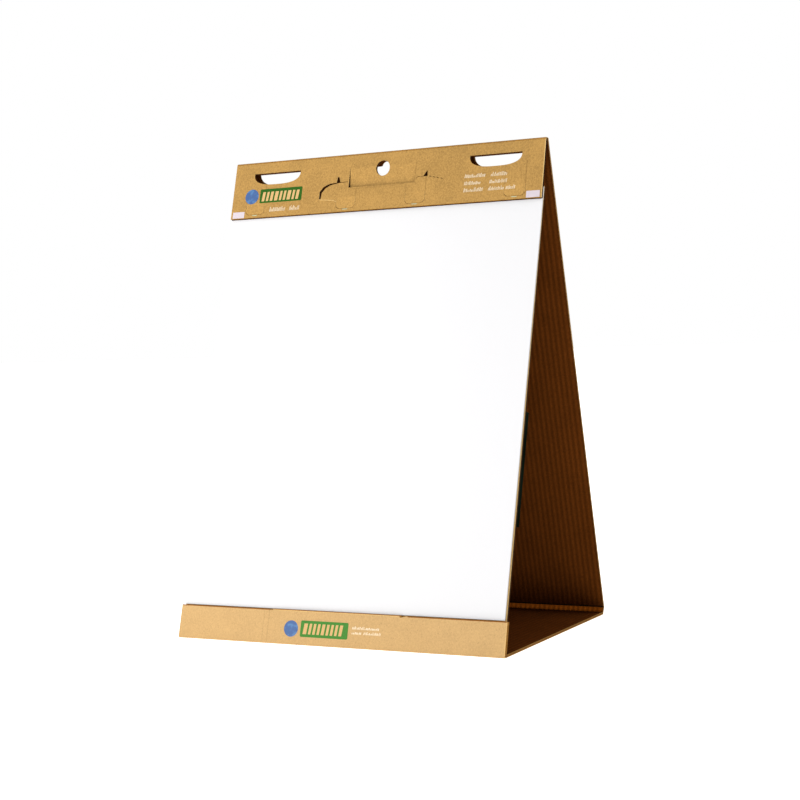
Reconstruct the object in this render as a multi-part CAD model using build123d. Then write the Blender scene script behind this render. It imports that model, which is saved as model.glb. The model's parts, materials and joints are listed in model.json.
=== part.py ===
from build123d import *
import math
import os

# Tabletop easel pad: a tent folded from corrugated kraft board that carries a pad of sheets.
# Millimetres. X runs along the width, +Y towards the back, +Z up. The base rests on Z = 0,
# and the origin is midway between the front and back edges of the footprint.
os.makedirs("parts", exist_ok=True)

# ---- driving dimensions -------------------------------------------------------------
WIDTH = 500.0                # every panel and the sheets
HEIGHT = 675.0               # table to the top fold
SET_BACK = 190.0             # top fold behind the bottom fold of the lip
DEPTH = 345.0                # base panel, front to back
BOARD = 4.0                  # C-flute corrugated board
LINER = 0.4
MEDIUM = 0.35
FLUTES = 66                  # waves across the width, 7.6 mm each
FLAT_SHARE = 0.16            # of each wave, glued flat to a liner on either side of a crest
SPINE_RISE, SPINE_OUT = 10.0, 5.0
TOP_FOLD_WIDTH = 8.0         # two boards back to back
FOLD_ROUND, FOLD_CROWN = 1.2, 0.8   # bevel and height of the liner carried over the fold

LIP_TOP = 46.0               # distances up the front slope from the table
LIP_RAISE = 0.8              # the tuck tab stands this much above the lip's edge
TUCK_HALF = 100.0
NOTCH_WIDE, NOTCH_DEEP = 1.6, 3.0   # beside the tuck tab
HEADER_LOW = 615.0
PAD_LOW, PAD_TOP = 47.5, 632.5
BACKING_LOW, BACKING_TOP = 7.35, 634.0

SHEET, SHEET_GAP = 0.25, 0.2        # top sheet, and its clearance under the header
GLUE, GLUE_INSET = 0.3, 8.0
HEADER_GLUE_LOW, HEADER_GLUE_TALL = 616.0, 5.0
PAD_GLUE_LOW, PAD_GLUE_TALL = 590.5, 40.0
PAD_BACK = 7.0               # depth of the pad's back behind the header's face
HOLE_Y, HOLE_R = 677.5, 11.0
MOON_X, MOON_HALF, MOON_TOP, MOON_DROP = 176.75, 39.75, 684.0, 18.0
MOON_POWER = 2.8             # 2 would be a half ellipse; more gives blunter ends
HAND_HALF, HAND_TOP, HAND_LOW = 53.0, 679.0, 651.5
HAND_PUSH = 8.0              # degrees the flap stands pushed in
HAND_CUT, CREASE_CUT = 0.6, 0.15
REAR_HAND_ROOM = 3.0         # the opening behind the flap is this much larger all round
TAB_X = (-209.0, -56.0, 56.0, 209.0)
TAB_HALF, TAB_TOP, TAB_LOW, TAB_CORNER = 15.5, 637.0, 622.5, 6.0
TAB_ROUNDING = ((1.0, 1.0), (0.87, 0.35), (0.55, 0.0))   # shares of the half width and corner
TAB_CUT, TAB_SWING = 0.4, 0.7       # gap at the sides, and below for the swing of the thickness
TAB_CREASE_CUT = 0.1
TAB_NICK = ((-5, -3), (-3, -4), (3, -4), (5, -3))        # slit under each tab, from its low edge
PATCH_X, PATCH_S = 237.0, 621.0
PATCH_HALF_WIDE, PATCH_HALF_TALL, PATCH_THICK = 10.0, 4.8, 0.2
STRIP_LOW, STRIP_HIGH, STRIP_WIDTH, STRIP_THICK = 170.0, 322.0, 14.0, 10.0
PUNCH, SPARE = 60.0, 3.0            # length of through cutters, and overrun of other blanks

# slit that takes the end of the lip's tuck tab: it gapes on the left and is nicked on the right
LEFT_SLIT = [(-100.5, 637), (-100.5, 648), (-94.5, 655), (-85, 659), (-70, 660.5), (-55.5, 660.5),
             (-55.5, 659.9), (-70, 659.6), (-84, 657.2), (-92.5, 652.8), (-97.6, 646.5), (-98.6, 637)]
RIGHT_SLIT = [(54.6, 657.6), (58, 660), (72.4, 659.8), (72.4, 659.2), (58.3, 659.3), (54.6, 656.8)]
LEFT_NOTCH = [(-72.4, 668), (-70.6, 668), (-68, 660), (-73.2, 660)]
RIGHT_NOTCH = [(72.6, 668), (73.2, 659.3), (66.3, 659.6), (71.4, 667)]
NICKS, NICK_X, NICK_S, NICK_ANGLE = 4, 77.0, 658.8, -13.0
NICK_STEP_X, NICK_STEP_S, NICK_LONG, NICK_WIDE = 6.0, -1.4, 3.0, 0.5

TILT = math.atan2(SET_BACK, HEIGHT)
HEADER_TOP = math.hypot(SET_BACK, HEIGHT)
REAR_TOP_Y = SET_BACK + TOP_FOLD_WIDTH
REAR_LOW_Y = DEPTH + SPINE_OUT
REAR_RUN = REAR_LOW_Y - REAR_TOP_Y
REAR_RISE = HEIGHT - SPINE_RISE
REAR_LEAN = math.atan2(REAR_RUN, REAR_RISE)
REAR_LENGTH = math.hypot(REAR_RUN, REAR_RISE)
SPINE_LENGTH = math.hypot(SPINE_RISE, SPINE_OUT)
SPINE_LEAN = math.atan2(SPINE_OUT, SPINE_RISE)
FRONT_Y = -REAR_LOW_Y / 2    # lip's bottom fold, with the origin mid-footprint

# ---- panel planes: local x = width, y = up the panel, z = out of its outer face ------
FRONT = Plane((0, FRONT_Y, 0), x_dir=(1, 0, 0), z_dir=(0, -math.cos(TILT), math.sin(TILT)))
REAR = Plane((0, FRONT_Y + REAR_LOW_Y, SPINE_RISE), x_dir=(-1, 0, 0),
             z_dir=(0, math.cos(REAR_LEAN), math.sin(REAR_LEAN)))
SPINE = Plane((0, FRONT_Y + DEPTH, 0), x_dir=(-1, 0, 0),
              z_dir=(0, math.cos(SPINE_LEAN), -math.sin(SPINE_LEAN)))
BASE = Plane((0, FRONT_Y, 0), x_dir=(-1, 0, 0), z_dir=(0, 0, -1))


def save(name, shape):
    shape.label = name
    export_step(shape, f"parts/{name}.step")


def block(x0, x1, y0, y1, z0, z1):
    """Box between two corners, in a panel's local directions."""
    return Pos((x0 + x1) / 2, (y0 + y1) / 2, (z0 + z1) / 2) * Box(x1 - x0, y1 - y0, z1 - z0)


def prism(points, width=WIDTH):
    """Solid whose (y, z) section is the list of points, centred on x = 0."""
    face = make_face(Polyline(*[(0, y, z) for y, z in points], close=True))
    return Pos(-width / 2, 0, 0) * extrude(face, amount=width, dir=(1, 0, 0))


def punch(points):
    """Cutter through a board, with the outline given in the panel's x and y."""
    face = make_face(Polyline(*[(x, y, PUNCH / 2) for x, y in points], close=True))
    return extrude(face, amount=PUNCH, dir=(0, 0, -1))


def wave(low, high, level):
    """Fluted medium between two liners, running from y = low to y = high."""
    pitch = WIDTH / FLUTES
    flat, half = pitch * FLAT_SHARE, MEDIUM / 2
    inner = (BOARD - 2 * LINER) / 2 - half
    path = [(-WIDTH / 2, -inner)]
    for i in range(FLUTES):
        x = -WIDTH / 2 + i * pitch
        path += [(x + flat, -inner), (x + pitch / 2 - flat, inner),
                 (x + pitch / 2 + flat, inner), (x + pitch - flat, -inner)]
    path.append((WIDTH / 2, -inner))
    upper = [(x, z + half) for x, z in path]
    lower = [(x, z - half) for x, z in reversed(path)]
    face = make_face(Polyline(*[(x, low, z + level) for x, z in upper + lower], close=True))
    return extrude(face, amount=high - low, dir=(0, 1, 0))


def board(name, plane, low, high, bevel_low=0.0, bevel_high=0.0, cutters=(), depth=0.0):
    """Corrugated panel as two liners and a fluted medium.

    bevel_low and bevel_high are how far each end is cut back at the inner face,
    and depth is how far the outer face lies behind the plane.
    """
    def ends(z):
        t = -(z + depth) / BOARD
        return low + bevel_low * t, high - bevel_high * t

    def layer(z0, z1):
        (a0, b0), (a1, b1) = ends(z0), ends(z1)
        return prism([(a0, z0), (b0, z0), (b1, z1), (a1, z1)])

    skin, core, back = -depth, -depth - LINER, -depth - BOARD
    layers = {
        "outer_liner": layer(skin, core),
        "medium": wave(low - SPARE, high + SPARE, -depth - BOARD / 2) & layer(core, back + LINER),
        "inner_liner": layer(back + LINER, back),
    }
    for part, shape in layers.items():
        for cutter in cutters:
            shape = shape - cutter
        save(f"{name}_{part}", plane * shape)


def half_moon(centre, steps=28):
    """Hanging slot with a straight top, blunt ends and a curved bottom."""
    points = []
    for i in range(steps + 1):
        across = -math.cos(math.pi * i / steps)
        down = (1 - abs(across) ** MOON_POWER) ** (1 / MOON_POWER)
        points.append((centre + MOON_HALF * across, MOON_TOP - MOON_DROP * down))
    return punch(points)


def tab_outline(centre, sides, below, top):
    """U-shaped tab: straight sides and a rounded bottom."""
    half, low = TAB_HALF + sides, TAB_LOW - below
    left = [(-half, top)] + [(-half * wide, low + TAB_CORNER * tall) for wide, tall in TAB_ROUNDING]
    right = [(-x, y) for x, y in reversed(left)]
    return [(centre + x, y) for x, y in left + right]


def hand_outline(sides, top):
    """Hand-hold rectangle, grown by that much at the sides and bottom, and at the top."""
    half, low, high = HAND_HALF + sides, HAND_LOW - sides, HAND_TOP + top
    return [(-half, low), (half, low), (half, high), (-half, high)]


hanging = [half_moon(-MOON_X), half_moon(MOON_X), Pos(0, HOLE_Y, 0) * Cylinder(HOLE_R, PUNCH)]

# ---- header: front flap under the top fold -------------------------------------------
header_cuts = list(hanging)
header_cuts.append(punch(hand_outline(HAND_CUT, CREASE_CUT)))
for x in TAB_X:
    header_cuts.append(punch(tab_outline(x, TAB_CUT, TAB_SWING, TAB_TOP)))
    header_cuts.append(punch([(x + dx, TAB_LOW + dy) for dx, dy in TAB_NICK]))
for outline in (LEFT_SLIT, RIGHT_SLIT, LEFT_NOTCH, RIGHT_NOTCH):
    header_cuts.append(punch(outline))
for i in range(NICKS):
    place = Pos(NICK_X + NICK_STEP_X * i, NICK_S + NICK_STEP_S * i, 0) * Rot(0, 0, NICK_ANGLE)
    header_cuts.append(place * Box(NICK_LONG, NICK_WIDE, PUNCH))
board("header", FRONT, HEADER_LOW, HEADER_TOP, cutters=header_cuts)

# hinged pieces cut out of the header
for label, x in zip(("far_left", "left", "right", "far_right"), TAB_X):
    slab = block(x - TAB_HALF, x + TAB_HALF, TAB_LOW, TAB_TOP, -BOARD, 0)
    save(f"tab_{label}", FRONT * (punch(tab_outline(x, 0, 0, TAB_TOP - TAB_CREASE_CUT)) & slab))
hand_flap = block(-HAND_HALF, HAND_HALF, HAND_LOW, HAND_TOP, -BOARD, 0)
hand_flap = hand_flap - Pos(0, HOLE_Y, 0) * Cylinder(HOLE_R, PUNCH)
hand_crease = Pos(0, HAND_TOP, -BOARD)
save("hand_flap", FRONT * hand_crease * Rot(HAND_PUSH, 0, 0) * hand_crease.inverse() * hand_flap)

# patches at the lower corners of the header
for label, side in (("left", -1), ("right", 1)):
    patch = block(side * PATCH_X - PATCH_HALF_WIDE, side * PATCH_X + PATCH_HALF_WIDE,
                  PATCH_S - PATCH_HALF_TALL, PATCH_S + PATCH_HALF_TALL, 0, PATCH_THICK)
    save(f"corner_patch_{label}", FRONT * patch)

# ---- pad and its backing ---------------------------------------------------------------
half = WIDTH / 2
save("top_sheet", FRONT * block(-half, half, PAD_LOW, HEADER_LOW - SHEET_GAP, -BOARD - SHEET, -BOARD))
save("pad_sheets", FRONT * block(-half, half, PAD_LOW, PAD_TOP, -PAD_BACK + GLUE, -BOARD - GLUE))
glue = half - GLUE_INSET
save("header_glue_strip", FRONT * block(-glue, glue, HEADER_GLUE_LOW, HEADER_GLUE_LOW + HEADER_GLUE_TALL,
                                        -BOARD - GLUE, -BOARD))
save("pad_glue_strip", FRONT * block(-glue, glue, PAD_GLUE_LOW, PAD_GLUE_LOW + PAD_GLUE_TALL,
                                     -PAD_BACK, -PAD_BACK + GLUE))
board("backing", FRONT, BACKING_LOW, BACKING_TOP, depth=PAD_BACK)
strip_back = PAD_BACK + BOARD + STRIP_THICK
strip = block(half - STRIP_WIDTH, half, STRIP_LOW, STRIP_HIGH, -strip_back, -PAD_BACK - BOARD)
save("edge_strip", FRONT * strip)

# ---- top fold --------------------------------------------------------------------------
# the outer liner carried over the fold, above the square ends of the header and rear panel
header_end = (SET_BACK + BOARD * math.cos(TILT), HEIGHT - BOARD * math.sin(TILT))
rear_end = (REAR_TOP_Y - BOARD * math.cos(REAR_LEAN), HEIGHT - BOARD * math.sin(REAR_LEAN))
fold = [(SET_BACK, HEIGHT), header_end, rear_end, (REAR_TOP_Y, HEIGHT),
        (REAR_TOP_Y - FOLD_ROUND, HEIGHT + FOLD_CROWN), (SET_BACK + FOLD_ROUND, HEIGHT + FOLD_CROWN)]
save("top_fold", Pos(0, FRONT_Y, 0) * prism(fold))

# ---- rear panel ------------------------------------------------------------------------
# holes at the same distance below the fold as those in the header
drop = HEADER_TOP - REAR_LENGTH
rear_hand_hold = punch(hand_outline(REAR_HAND_ROOM, REAR_HAND_ROOM))
rear_cuts = [Pos(0, -drop, 0) * cutter for cutter in hanging + [rear_hand_hold]]
crease_bevel = BOARD * math.tan((REAR_LEAN + SPINE_LEAN) / 2)
board("rear", REAR, 0, REAR_LENGTH, bevel_low=crease_bevel, cutters=rear_cuts)

# ---- spine, base and lip -----------------------------------------------------------------
spine_bevel = BOARD / math.tan((math.pi / 2 + SPINE_LEAN) / 2)
board("spine", SPINE, 0, SPINE_LENGTH, bevel_low=spine_bevel, bevel_high=crease_bevel)
lip_bevel = BOARD / math.tan((math.pi / 2 - TILT) / 2)
board("base", BASE, 0, DEPTH, bevel_low=lip_bevel, bevel_high=spine_bevel)
# the lip's edge beside the tuck tab, and the notches at the tab's ends
lip_cuts = []
for far, foot in ((half + SPARE, LIP_TOP), (TUCK_HALF + NOTCH_WIDE, LIP_TOP - NOTCH_DEEP)):
    for side in (-1, 1):
        near_x, far_x = sorted((side * TUCK_HALF, side * far))
        lip_cuts.append(block(near_x, far_x, foot, LIP_TOP + SPARE, -2 * BOARD, SPARE))
board("lip", FRONT, 0, LIP_TOP + LIP_RAISE, bevel_low=lip_bevel, cutters=lip_cuts)
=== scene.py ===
"""Looks of the tabletop easel pad: kraft corrugated board, a stack of white sheets, plain studio."""
import json
import math
import random

import bmesh
import bpy
from mathutils import Matrix, Vector


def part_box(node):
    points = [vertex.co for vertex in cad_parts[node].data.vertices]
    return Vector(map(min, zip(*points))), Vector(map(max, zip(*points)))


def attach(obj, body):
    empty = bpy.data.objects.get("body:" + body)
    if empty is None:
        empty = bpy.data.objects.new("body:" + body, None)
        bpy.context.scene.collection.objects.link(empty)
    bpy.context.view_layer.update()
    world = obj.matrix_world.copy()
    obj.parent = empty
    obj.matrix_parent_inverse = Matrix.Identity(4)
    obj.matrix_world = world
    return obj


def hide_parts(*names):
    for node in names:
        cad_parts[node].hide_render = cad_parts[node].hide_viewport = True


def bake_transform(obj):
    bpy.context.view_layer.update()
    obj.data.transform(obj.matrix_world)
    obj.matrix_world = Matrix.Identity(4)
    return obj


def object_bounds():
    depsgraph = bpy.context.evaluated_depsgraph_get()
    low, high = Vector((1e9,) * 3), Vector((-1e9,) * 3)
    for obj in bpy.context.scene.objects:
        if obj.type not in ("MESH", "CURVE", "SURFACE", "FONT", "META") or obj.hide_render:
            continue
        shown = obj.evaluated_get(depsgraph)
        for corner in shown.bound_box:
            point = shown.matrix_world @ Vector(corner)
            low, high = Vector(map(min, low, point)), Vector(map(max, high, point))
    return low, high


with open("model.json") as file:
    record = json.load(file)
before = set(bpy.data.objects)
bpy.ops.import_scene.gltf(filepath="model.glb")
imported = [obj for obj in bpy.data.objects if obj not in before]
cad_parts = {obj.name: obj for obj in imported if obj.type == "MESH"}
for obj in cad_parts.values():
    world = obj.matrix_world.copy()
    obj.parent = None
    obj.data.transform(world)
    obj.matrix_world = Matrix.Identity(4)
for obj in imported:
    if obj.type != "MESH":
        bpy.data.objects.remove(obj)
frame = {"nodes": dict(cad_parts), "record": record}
NODES = frame["nodes"]
CAD_BOX = [list(corner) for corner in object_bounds()]
random.seed(7)

# ---- driving sizes, in metres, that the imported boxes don't give directly ---------------------
MM = 0.001
DEG = math.pi / 180
BOARD = 4.0 * MM
FLUTES = 66
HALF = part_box("base_outer_liner")[1][0]
PITCH = 2 * HALF / FLUTES
RIB = 0.50 * MM                 # how deep the liner sinks between two flutes
SHEETS = 19
TAPER_TOP = 590 * MM            # above this the right side is square
SHEET_TAPER, BACKING_TAPER = 7.4 * MM, 5.6 * MM


class Panel:
    """A flat board's own directions: x along the width, s up the board, w out of its outer face."""

    def __init__(self, foot, head):
        self.foot = Vector((0, *foot))
        along = Vector((0, *head)) - self.foot
        self.length = along.length
        self.up = along.normalized()
        self.out = Vector((0, -self.up.z, self.up.y))

    def point(self, x, s, w):
        return self.foot + self.up * s + self.out * w + Vector((x, 0, 0))


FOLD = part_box("top_fold")
RIDGE_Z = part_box("header_outer_liner")[1][2]
LIP_FOOT = (CAD_BOX[0][1], 0)
REAR_FOOT = (CAD_BOX[1][1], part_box("rear_outer_liner")[0][2])
BASE_END = (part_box("base_outer_liner")[1][1], 0)
FRONT = Panel(LIP_FOOT, (FOLD[0][1], RIDGE_Z))
REAR = Panel(REAR_FOOT, (FOLD[1][1], RIDGE_Z))
SPINE = Panel(BASE_END, REAR_FOOT)
BASE = Panel(LIP_FOOT, BASE_END)
for panel in (REAR, SPINE):
    panel.out.negate()
BASE.out = Vector((0, 0, -1))

LIP_TOP = 46 * MM
HEADER_LOW, HEADER_TOP = 615 * MM, FRONT.length


# ---- materials -----------------------------------------------------------------------------------
def new_material(name):
    material = bpy.data.materials.new(name)
    material.use_nodes = True
    tree = material.node_tree
    return material, tree, tree.nodes["Principled BSDF"]


def texture(tree, kind, scale, stretch=(1, 1, 1), **inputs):
    """Texture in the object's own coordinates, squeezed by stretch."""
    place = tree.nodes.new("ShaderNodeTexCoord").outputs["Object"]
    mapping = tree.nodes.new("ShaderNodeMapping")
    mapping.inputs["Scale"].default_value = stretch
    node = tree.nodes.new(kind)
    node.inputs["Scale"].default_value = scale
    for key, value in inputs.items():
        node.inputs[key].default_value = value
    tree.links.new(place, mapping.inputs["Vector"])
    tree.links.new(mapping.outputs["Vector"], node.inputs["Vector"])
    return node


def math_node(tree, operation, *values):
    node = tree.nodes.new("ShaderNodeMath")
    node.operation = operation
    for socket, value in zip(node.inputs, values):
        if isinstance(value, bpy.types.NodeSocket):
            tree.links.new(value, socket)
        else:
            socket.default_value = value
    return node.outputs[0]


def ramp(tree, source, stops):
    node = tree.nodes.new("ShaderNodeValToRGB")
    elements = node.color_ramp.elements
    while len(elements) < len(stops):
        elements.new(0.5)
    for element, (position, colour) in zip(elements, stops):
        element.position = position
        element.color = (*colour, 1)
    tree.links.new(source, node.inputs["Fac"])
    return node.outputs["Color"]


def mix_colour(tree, factor, first, second):
    node = tree.nodes.new("ShaderNodeMix")
    node.data_type = "RGBA"
    for socket, value in ((node.inputs[0], factor), (node.inputs[6], first), (node.inputs[7], second)):
        if isinstance(value, bpy.types.NodeSocket):
            tree.links.new(value, socket)
        else:
            socket.default_value = (*value, 1) if isinstance(value, tuple) else value
    return node.outputs[2]


def scaled(colour, factor):
    return tuple(channel * factor for channel in colour)


def kraft(name, colour, edge, contrast=0.12, shine=0.15, painted_valley_shade=0.0):
    """Kraft paper: a fine speckled grain, faint clouds, short fibres and a few dark flecks. Raw ends, which
    face sideways, take the edge colour, which is painted shade on the dark kinds; the last argument paints
    shade into the valleys between flutes."""
    material, tree, shader = new_material(name)
    cloud = texture(tree, "ShaderNodeTexNoise", 30.0, Detail=2.0)
    grain = texture(tree, "ShaderNodeTexNoise", 430.0, Detail=5.0, Roughness=0.8)
    fibre = texture(tree, "ShaderNodeTexNoise", 1300.0, (1, 0.25, 0.25), Detail=2.0)
    fleck = texture(tree, "ShaderNodeTexNoise", 700.0, (1, 0.6, 0.6), Detail=0.0)
    grey = math_node(tree, "MULTIPLY_ADD", cloud.outputs["Fac"], 0.15,
                     math_node(tree, "MULTIPLY_ADD", grain.outputs["Fac"], 0.65,
                               math_node(tree, "MULTIPLY", fibre.outputs["Fac"], 0.20)))
    body = ramp(tree, grey, [(0.42, scaled(colour, 1 - 1.3 * contrast)),
                             (0.58, scaled(colour, 1 + contrast))])
    dark = math_node(tree, "GREATER_THAN", fleck.outputs["Fac"], 0.76)
    body = mix_colour(tree, math_node(tree, "MULTIPLY", dark, 0.4), body, scaled(colour, 0.5))
    # painted shade: the valleys between the flute tips darken towards 35 % of the colour
    if painted_valley_shade:
        place = tree.nodes.new("ShaderNodeSeparateXYZ")
        tree.links.new(tree.nodes.new("ShaderNodeTexCoord").outputs["Object"], place.inputs[0])
        turns = 2 * math.pi / PITCH
        phase = math_node(tree, "MULTIPLY_ADD", place.outputs[0], turns, turns * HALF)
        valley = math_node(tree, "MULTIPLY_ADD", math_node(tree, "COSINE", phase), 0.5, 0.5)
        body = mix_colour(tree, math_node(tree, "MULTIPLY", valley, painted_valley_shade), body, scaled(colour, 0.35))
    normal = tree.nodes.new("ShaderNodeSeparateXYZ")
    tree.links.new(tree.nodes.new("ShaderNodeNewGeometry").outputs["True Normal"], normal.inputs[0])
    sideways = math_node(tree, "GREATER_THAN", math_node(tree, "ABSOLUTE", normal.outputs[0]), 0.97)
    tree.links.new(mix_colour(tree, sideways, body, edge), shader.inputs["Base Color"])
    shader.inputs["Roughness"].default_value = 0.82
    shader.inputs["Specular IOR Level"].default_value = shine
    if not shine:
        shader.inputs["IOR"].default_value = 1.0
    bump = tree.nodes.new("ShaderNodeBump")
    bump.inputs["Strength"].default_value = 0.35
    bump.inputs["Distance"].default_value = 0.1 * MM
    tree.links.new(grey, bump.inputs["Height"])
    tree.links.new(bump.outputs["Normal"], shader.inputs["Normal"])
    return material


def coated(name, colour, rough, scale=700.0, change=0.03):
    """Print, paper or tape: nearly one colour, with a fine tooth."""
    material, tree, shader = new_material(name)
    tooth = texture(tree, "ShaderNodeTexNoise", scale, Detail=3.0)
    shade = ramp(tree, tooth.outputs["Fac"], [(0.3, scaled(colour, 1 - change)), (0.7, colour)])
    tree.links.new(shade, shader.inputs["Base Color"])
    shader.inputs["Roughness"].default_value = rough
    shader.inputs["Specular IOR Level"].default_value = 0.08
    bump = tree.nodes.new("ShaderNodeBump")
    bump.inputs["Strength"].default_value = 0.15
    bump.inputs["Distance"].default_value = 0.05 * MM
    tree.links.new(tooth.outputs["Fac"], bump.inputs["Height"])
    tree.links.new(bump.outputs["Normal"], shader.inputs["Normal"])
    return material


def woven(name, colour):
    """Dark webbing with a fine over-and-under weave."""
    material, tree, shader = new_material(name)
    warp = texture(tree, "ShaderNodeTexWave", 320.0, Distortion=0.4)
    weft = texture(tree, "ShaderNodeTexWave", 320.0, Distortion=0.4)
    weft.bands_direction = "Z"
    weave = math_node(tree, "MULTIPLY", warp.outputs["Fac"], weft.outputs["Fac"])
    tree.links.new(ramp(tree, weave, [(0.0, scaled(colour, 0.5)), (0.8, scaled(colour, 1.5))]),
                   shader.inputs["Base Color"])
    shader.inputs["Roughness"].default_value = 0.9
    shader.inputs["IOR"].default_value = 1.0
    bump = tree.nodes.new("ShaderNodeBump")
    bump.inputs["Distance"].default_value = 0.2 * MM
    tree.links.new(weave, bump.inputs["Height"])
    tree.links.new(bump.outputs["Normal"], shader.inputs["Normal"])
    return material


def blotched(name, deep, middle, light):
    """Print in three soft-edged colours."""
    material, tree, shader = new_material(name)
    cloud = texture(tree, "ShaderNodeTexNoise", 150.0, Detail=1.5)
    shade = ramp(tree, cloud.outputs["Fac"], [(0.50, deep), (0.57, middle), (0.62, light)])
    tree.links.new(shade, shader.inputs["Base Color"])
    shader.inputs["Roughness"].default_value = 0.55
    return material


TAN = (0.356, 0.204, 0.057)
CREAM = (0.74, 0.54, 0.24)
# near-black painted shade for the raw ends of the inner liners
PAINTED_END_SHADE = (0.030, 0.012, 0.004)
HEADER_KRAFT = kraft("header_kraft", TAN, CREAM, 0.17)
# painted light: the header kraft made 7 % lighter to offset the shade on the pushed-in hand flap; the tabs and
# hinges take it too
FLAP_KRAFT_LIT = kraft("flap_kraft_painted_light", scaled(TAN, 1.07), CREAM, 0.17)
# painted light: the lip is the same kraft as the header, painted lighter for the brighter light it gets low
# down near the floor
LIP_TAN_LIT = (0.462, 0.294, 0.125)
LIP_KRAFT_LIT = kraft("lip_kraft_painted_light", LIP_TAN_LIT, CREAM, 0.08)
REAR_KRAFT = kraft("rear_kraft", (0.46, 0.27, 0.09), (0.22, 0.12, 0.035))
OUTER_KRAFT = kraft("outer_kraft", (0.46, 0.27, 0.09), (0.31, 0.20, 0.05))
BACKING_KRAFT = kraft("backing_kraft", (0.50, 0.33, 0.13), (0.55, 0.38, 0.17))
# inner liners, spine and base inside: kraft darkened to painted shade for the dim inside of the tent, each part
# at its own level
INNER_KRAFT_SHADED = kraft("inner_kraft_painted_shade", (0.112, 0.0305, 0.0046), PAINTED_END_SHADE, 0.2, 0.0, 0.5)
SPINE_KRAFT_SHADED = kraft("spine_kraft_painted_shade", (0.27, 0.068, 0.0055), PAINTED_END_SHADE, 0.2, 0.0, 0.6)
BASE_KRAFT_SHADED = kraft("base_kraft_painted_shade", (0.088, 0.024, 0.0045), (0.10, 0.05, 0.01), 0.2, 0.0, 0.4)
# fluting paper darkened to painted shade, near-black on its raw ends; the base and lip fluting take a lighter,
# lit copy of the same paper
FLUTING_SHADED = kraft("fluting_paper_painted_shade", (0.045, 0.019, 0.006), (0.010, 0.004, 0.0025), 0.2)
LIT_FLUTING = kraft("lit_fluting", (0.27, 0.125, 0.025), (0.17, 0.10, 0.022), 0.2)
# fold kraft: darkened as painted crease shade over the ridge fold, the base creases and the header's lower edge
FOLD_SHADE_KRAFT = kraft("fold_kraft_painted_shade", (0.27, 0.135, 0.028), (0.35, 0.20, 0.05), 0.2)
# crease kraft: darker copies of the face colours, painted shade in the pressed creases and along faint outlines
CREASE_SHADE_KRAFT = kraft("crease_painted_shade", scaled(TAN, 0.80), scaled(TAN, 0.80), 0.15)
LIP_CREASE_SHADE = kraft("lip_crease_painted_shade", scaled(LIP_TAN_LIT, 0.85), CREAM)
# near-black painted shadow in the inside crease between the rear panel and the spine
CREASE_SHADOW = kraft("crease_painted_shadow", (0.012, 0.005, 0.002), (0.012, 0.005, 0.002), 0.2, 0.0)
# ridge kraft: pale kraft for painted highlights along a crease, the boards' right ends and the tuck tab's edge
RIDGE_HIGHLIGHT_KRAFT = kraft("ridge_painted_highlight", (0.58, 0.38, 0.15), CREAM, 0.12)
# rim kraft: dark brown for the board's flute ends at the lip's top, darkened as painted shade of the gap under
# the pad
RIM_SHADE_KRAFT = kraft("rim_painted_shade", (0.21, 0.075, 0.012), PAINTED_END_SHADE, 0.25)
PAPER = coated("pad_paper", (0.612, 0.612, 0.622), 0.6, change=0.01)
PATCH = coated("patch_tape", (0.52, 0.46, 0.50), 0.45, 300.0, 0.08)
GLUE = coated("glue", (0.62, 0.56, 0.42), 0.35)
GREEN = coated("green_print", (0.024, 0.100, 0.008), 0.55, 500.0, 0.25)
LIP_GREEN = coated("lip_green_print", (0.055, 0.195, 0.032), 0.55, 500.0, 0.15)
WHITE_PRINT = coated("white_print", (0.66, 0.55, 0.40), 0.6, 900.0, 0.15)
LIP_WHITE_PRINT = coated("lip_white_print", (0.80, 0.68, 0.50), 0.6, 900.0, 0.15)
TAN_PRINT = coated("tan_print", (0.56, 0.36, 0.15), 0.6, 900.0, 0.15)
SLIT_PAPER = coated("slit_paper", (0.44, 0.50, 0.34), 0.6, 900.0, 0.2)
STRIP = woven("strip_webbing", (0.0035, 0.0060, 0.0035))
BLUE = blotched("blue_print", (0.022, 0.075, 0.22), (0.030, 0.100, 0.26), (0.045, 0.135, 0.30))

BY_SLOT = {"kraft_liner": OUTER_KRAFT, "kraft_inside": INNER_KRAFT_SHADED, "fluting": FLUTING_SHADED, "adhesive": GLUE,
           "white_paper": PAPER, "white_label": PATCH, "green_strip": STRIP}
BY_NODE = {"header_outer_liner": HEADER_KRAFT, "lip_outer_liner": LIP_KRAFT_LIT, "base_inner_liner": BASE_KRAFT_SHADED,
           "spine_inner_liner": SPINE_KRAFT_SHADED, "backing_outer_liner": BACKING_KRAFT, "base_medium": LIT_FLUTING,
           "lip_medium": LIT_FLUTING}
for part in frame["record"]["subparts"]:
    mesh = NODES[part["node"]].data
    mesh.materials.clear()
    mesh.materials.append(BY_NODE.get(part["node"], BY_SLOT[part["material_slot"]]))


# ---- mesh helpers ---------------------------------------------------------------------------------
def new_object(name, points, faces, material, smooth=False):
    mesh = bpy.data.meshes.new(name)
    mesh.from_pydata([tuple(point) for point in points], [], faces)
    mesh.materials.append(material)
    mesh.polygons.foreach_set("use_smooth", [smooth] * len(mesh.polygons))
    mesh.update()
    made = bpy.data.objects.new(name, mesh)
    bpy.context.collection.objects.link(made)
    return made


def tapered(x, s, taper):
    """The board and sheets were trimmed a little askew, so the right side draws in towards the bottom."""
    return x - taper * max(0.0, 1 - s / TAPER_TOP) * (x + HALF) / (2 * HALF)


def spread(low, high, count):
    return [low + (high - low) * i / count for i in range(count + 1)]


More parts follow.
